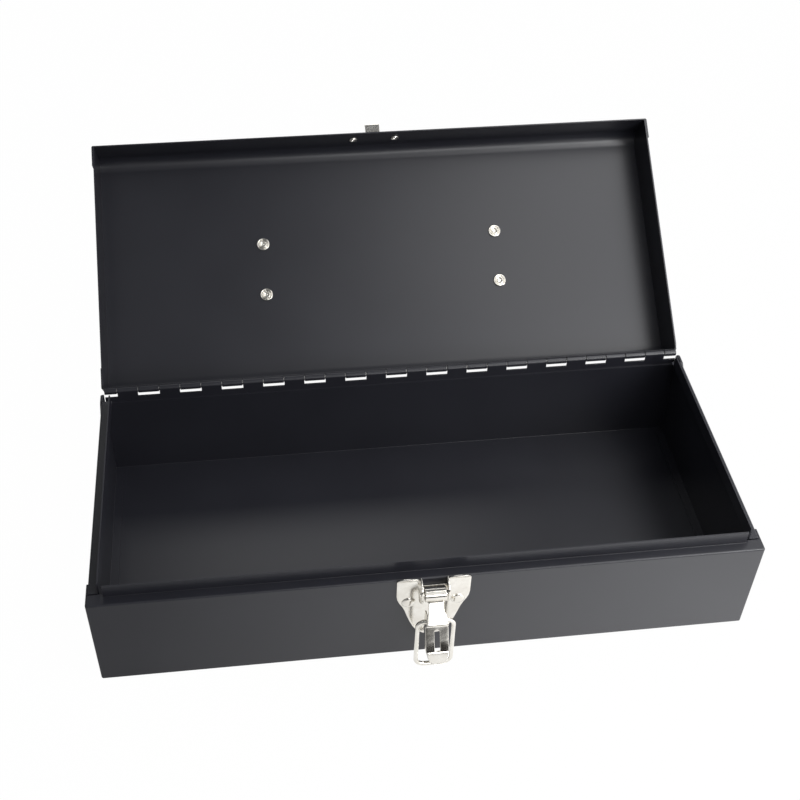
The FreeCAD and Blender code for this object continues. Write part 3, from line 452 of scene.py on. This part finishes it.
def rivet_pieces(node, places, axis, swing, head, dome, shank, grip, tail, curl):
    """Rivets whose heads stand on the given places and whose tails lie along the axis."""
    points = [(r * head, -h * dome) for r, h in DOME_PROFILE] + [(shank, 0), (shank, grip)]
    points += [(r * tail, grip + h * curl) for r, h in TAIL_PROFILE]
    lean = Vector((0, 0, 1)).rotation_difference(Vector(axis)).to_matrix().to_4x4()
    bm = bmesh.new()
    for place in places:
        row = [bm.verts.new((r * MM, 0, h * MM)) for r, h in points]
        edges = [bm.edges.new(pair) for pair in zip(row, row[1:])]
        bmesh.ops.spin(bm, geom=row + edges, cent=(0, 0, 0), axis=(0, 0, 1), dvec=(0, 0, 0),
                       angle=2 * math.pi, steps=RIVET_STEPS, use_merge=True)
        fresh = [vertex for vertex in bm.verts if not vertex.tag]
        bmesh.ops.transform(bm, matrix=Matrix.Translation(Vector(place) * MM) @ lean, verts=fresh)
        for vertex in fresh:
            vertex.tag = True
    bmesh.ops.remove_doubles(bm, verts=bm.verts, dist=RIVET_WELD)
    bmesh.ops.transform(bm, matrix=swing, verts=bm.verts)
    bmesh.ops.recalc_face_normals(bm, faces=bm.faces)
    finish_piece(node + "_turned", bm, nickel, node_body[node], [node])


# %% [markdown]
# ## Where the rivets sit
# Three sizes are in use: wide ones for the handle's saddles, middling ones for the latch plate and
# small ones for the keeper. All come in pairs, so each row of places is one distance taken to both
# sides. Those on the lid are placed with the lid shut and swing open with it.
# %% Rivets
HANDLE_RIVET = {"head": 4.0, "dome": 1.6, "shank": 2.4, "grip": 2.0, "tail": 4.1, "curl": 1.1}
LATCH_RIVET = {"head": 3.75, "dome": 1.5, "shank": 2.0, "grip": 1.8, "tail": 3.2, "curl": 0.9}
KEEPER_RIVET = {"head": 3.0, "dome": 1.2, "shank": 1.6, "grip": 1.8, "tail": 2.7, "curl": 0.8}
SADDLE_X, SADDLE_Y, SADDLE_PITCH, SADDLE_SHEET = 75.7, FRONT_Y + 79.3, 33.5, 1.2
LATCH_RIVET_X, LATCH_RIVET_Z = 13.1, HUB_Z - 11.2
KEEPER_RIVET_X, KEEPER_Z = 13.5, 74.4
DOWN, INWARD, BOTH_SIDES = (0, 0, -1), (0, 1, 0), (-1, 1)

for node, x in (("saddle_rivets_left", -SADDLE_X), ("saddle_rivets_right", SADDLE_X)):
    places = [(x, SADDLE_Y + side * SADDLE_PITCH / 2, LID_TOP_Z + SADDLE_SHEET) for side in BOTH_SIDES]
    rivet_pieces(node, places, DOWN, LID_OPEN, **HANDLE_RIVET)
places = [(side * LATCH_RIVET_X, FRONT_Y - PLATE_SHEET, LATCH_RIVET_Z) for side in BOTH_SIDES]
rivet_pieces("latch_rivets", places, INWARD, STAYS, **LATCH_RIVET)
places = [(side * KEEPER_RIVET_X, FRONT_Y - PLATE_SHEET, KEEPER_Z) for side in BOTH_SIDES]
rivet_pieces("keeper_rivets", places, INWARD, LID_OPEN, **KEEPER_RIVET)

# %% [markdown]
# ## Outlines of the latch's base plate
# The plate is one pressing: two wings over a rounded toe, an upper lip on each wing that leans
# forward, and two ears for the pin. Their outlines were matched against the picture. Only the
# right half is written down, because the plate is the same on both sides.
# %% Base plate's outlines
# Across from the middle and up from the floor.
LIP_FOLD_Z, LIP_LEAN = 64.0, 0.4
PLATE_EDGE = ((0, 17.3), (4.4, 18.0), (7.9, 20.6), (10.2, 24.8), (12.1, 29.6), (13.9, 35.4),
              (15.0, 39.4), (16.4, 43.0), (18.1, 46.2), (19.2, 49.3), (19.6, 52.5),
              (19.6, LIP_FOLD_Z), (7.5, LIP_FOLD_Z), (7.5, 61.2), (6.6, 59.8), (0, 59.8))
LIP_EDGE = ((19.6, LIP_FOLD_Z), (19.2, 65.4), (18.0, 66.5), (15.8, 67.0), (12.8, 67.0), (9.9, 66.7),
            (8.1, 65.7), (7.5, LIP_FOLD_Z))
# Forward from the wall's face and up from the floor.
EAR_X = 6.5
EAR_EDGE = ((-0.6, 45.6), (-6.6, 52.0), (-8.4, 55.4), (-8.85, 58.6), (-8.3, 61.8), (-6.8, 64.3),
            (-4.4, 65.7), (-0.6, 66.2))


def mirrored_edge(edge):
    """The same outline on the other side of the middle, in the same sense of turn."""
    return [(-x, z) for x, z in reversed(edge)]


print("corners", len(PLATE_EDGE) + len(LIP_EDGE) + len(EAR_EDGE))

# %% [markdown]
# ## The latch's base plate
# The plate could be cut from a block, but a pressing is one even sheet. So its outlines become
# flat faces that share the corners of the fold, and an extrusion gives the thickness. A shallow
# inset on the front leaves the pressed border that catches the light.
# %% Base plate
BORDER, PRESSED, SMALL_EDGE = 1.3, 0.35, 0.00022
FACES_FRONT, FIELD_AREA = -0.9, 4e-4

bm = bmesh.new()
corners = {}


def sheet_face(outline):
    """A face on the wall, leaned forward above the fold; corners already made are used again."""
    for x, z in outline:
        if (x, z) not in corners:
            y = FRONT_Y - max(0, z - LIP_FOLD_Z) * LIP_LEAN
            corners[x, z] = bm.verts.new((x * MM, y * MM, z * MM))
    return bm.faces.new([corners[x, z] for x, z in outline])


def thicken(faces, offset):
    """Pulls a copy of the faces off by the offset and closes the sides between."""
    grown = bmesh.ops.extrude_face_region(bm, geom=faces, use_keep_orig=True)
    bmesh.ops.translate(bm, verts=newly_made(grown, bmesh.types.BMVert), vec=Vector(offset) * MM)


thicken([sheet_face(list(PLATE_EDGE) + mirrored_edge(PLATE_EDGE[1:-1])),
         sheet_face(LIP_EDGE), sheet_face(mirrored_edge(LIP_EDGE))], (0, -PLATE_SHEET, 0))
bmesh.ops.recalc_face_normals(bm, faces=bm.faces)
field = [face for face in bm.faces
         if face.normal.y < FACES_FRONT and face.calc_area() > FIELD_AREA]
print("pressed field", len(field), "face")
bmesh.ops.inset_region(bm, faces=field, thickness=BORDER * MM, depth=PRESSED * MM, use_even_offset=True)
for side in BOTH_SIDES:
    ear = [bm.verts.new((side * EAR_X * MM, (FRONT_Y + y) * MM, z * MM)) for y, z in EAR_EDGE]
    thicken([bm.faces.new(ear)], (side * PLATE_SHEET, 0, 0))
bmesh.ops.recalc_face_normals(bm, faces=bm.faces)
plate = finish_piece("latch_plate", bm, nickel, "case", ["latch_base"])
soften(plate, SMALL_EDGE, segments=3, angle=35)

# %% [markdown]
# ## The latch lever
# The lever is one strip of sheet. Its free end is rolled down over the front of the pin and butts on
# the neck, which comes forward from under the pin, swells to a shoulder and drops to a slotted flat
# with a rounded finger lip. A curve with a bevel could follow that path, but a list of stations also
# gives the width at each place, so the side view is written down as stations.
# %% Lever's side view
ROLL_MIDDLE, ROLL_HALF, ROLL_FROM, ROLL_TO, ROLL_STEP = 3.55, 5.6, 50, -290, -10
SLOT_TOP, SLOT_LOW = 19.4, 31.9
# Forward from the pin, down from the pin, and half the width.
LEVER_SIDE = ((1.95, 3.95, 3.9), (2.3, 5.0, 3.9), (3.2, 8.9, 4.1), (3.6, 10.2, 4.9),
              (4.9, 15.0, 5.4), (5.0, 15.6, 5.5), (4.8, 16.2, 5.5), (2.1, 17.1, 5.7),
              (2.0, SLOT_TOP, 5.8), (2.0, 19.9, 5.8), (2.0, 20.8, 5.8), (2.0, 25.8, 5.8),
              (2.0, SLOT_LOW, 5.8), (2.4, 33.2, 5.7), (3.3, 34.9, 5.5), (4.1, 36.4, 4.9),
              (4.7, 37.5, 3.8), (5.0, 38.2, 2.2))
# Half the slot's width near its rounded top, by the station's distance down, and elsewhere.
SLOT_TOP_HALF, SLOT_HALF = {SLOT_TOP: 0.5, 19.9: 1.1}, 1.45
SLOT_COLUMN = 0.25
COLUMNS = (-1.0, -0.8, -SLOT_COLUMN, SLOT_COLUMN, 0.8, 1.0)
roll = [(ROLL_MIDDLE * math.cos(math.radians(a)), ROLL_MIDDLE * math.sin(math.radians(a)), ROLL_HALF)
        for a in range(ROLL_FROM, ROLL_TO - 1, ROLL_STEP)]
side_view = roll + list(LEVER_SIDE)


def column_x(column, station):
    """How far across a column stands at one station of the side view."""
    if abs(column) == SLOT_COLUMN:
        return math.copysign(SLOT_TOP_HALF.get(station[1], SLOT_HALF), column) * MM
    return column * station[2] * MM


def nearest_station(vertex):
    """The station of the side view on which a vertex stands."""
    return min(side_view, key=lambda p: abs((HUB_Y - p[0]) * MM - vertex.co.y)
               + abs((HUB_Z - p[1]) * MM - vertex.co.z))


print("stations", len(side_view))

# %% [markdown]
# ## The lever's strip
# The side view is extruded across in five columns, each set to its station's width. So the slot
# needs no Boolean: it is simply the middle column left out between two stations.
# %% Lever's strip
MIDDLE = 0.3

bm = bmesh.new()
row = [bm.verts.new((column_x(COLUMNS[0], p), (HUB_Y - p[0]) * MM, (HUB_Z - p[1]) * MM))
       for p in side_view]
edges = [bm.edges.new(pair) for pair in zip(row, row[1:])]
for column in COLUMNS[1:]:
    grown = bmesh.ops.extrude_edge_only(bm, edges=edges)
    edges = newly_made(grown, bmesh.types.BMEdge)
    for vertex in newly_made(grown, bmesh.types.BMVert):
        vertex.co.x = column_x(column, nearest_station(vertex))
slot_low, slot_top = (HUB_Z - SLOT_LOW) * MM, (HUB_Z - SLOT_TOP) * MM
middles = [(face, face.calc_center_median()) for face in bm.faces]
slot = [face for face, at in middles if abs(at.x) < MIDDLE * MM and slot_low < at.z < slot_top]
bmesh.ops.delete(bm, geom=slot, context="FACES")
print("slot faces left out", len(slot))

# %% [markdown]
# ## The lever's cheeks
# On each side the strip is folded back toward the wall, and the wire loop hangs from these
# cheeks. They are the outer edges of the strip, extruded back. Last, the lever is turned to the
# angle at which it hangs, and a Solidify modifier gives the sheet its thickness.
# %% Lever's cheeks
CHEEK_FROM, CHEEK_END, CHEEK_BACK = 9.5, 33.5, 2.4
CHEEK_OUTSIDE, CHEEK_STEP = 4.2, 1.2
LEVER_SHEET = 0.9
cheek_low, cheek_top = (HUB_Z - CHEEK_END) * MM, (HUB_Z - CHEEK_FROM) * MM


def on_cheek(edge):
    """True for an outer edge of the strip between the neck and the finger lip."""
    ends = [vertex.co for vertex in edge.verts]
    if not edge.is_boundary or abs(ends[0].x - ends[1].x) >= CHEEK_STEP * MM:
        return False
    return all(abs(end.x) > CHEEK_OUTSIDE * MM and cheek_low < end.z < cheek_top for end in ends)


grown = bmesh.ops.extrude_edge_only(bm, edges=[edge for edge in bm.edges if on_cheek(edge)])
for vertex in newly_made(grown, bmesh.types.BMVert):
    vertex.co.y = (HUB_Y + CHEEK_BACK) * MM
bmesh.ops.rotate(bm, verts=bm.verts, cent=Vector((0, HUB_Y, HUB_Z)) * MM,
                 matrix=Matrix.Rotation(math.radians(-LEVER_TILT), 3, "X"))
bmesh.ops.recalc_face_normals(bm, faces=bm.faces)
lever = finish_piece("lever_strip", bm, nickel, "lever", ["latch_lever"])
thick = lever.modifiers.new("sheet", "SOLIDIFY")
thick.thickness = LEVER_SHEET * MM
thick.offset = 0
soften(lever, SMALL_EDGE, segments=3, angle=30)

# %% [markdown]
# ## The pins
# Both pins are plain turned rods, and the construction model already has them round. They keep
# their own meshes and only get a finish, which is the right choice where nothing is missing.
# %% The pins
for node, material in (("hinge_pin", steel), ("lever_pin", nickel)):
    mesh = frame["nodes"][node].data
    mesh.materials.clear()
    mesh.materials.append(material)
    print(node, "in", material.name)
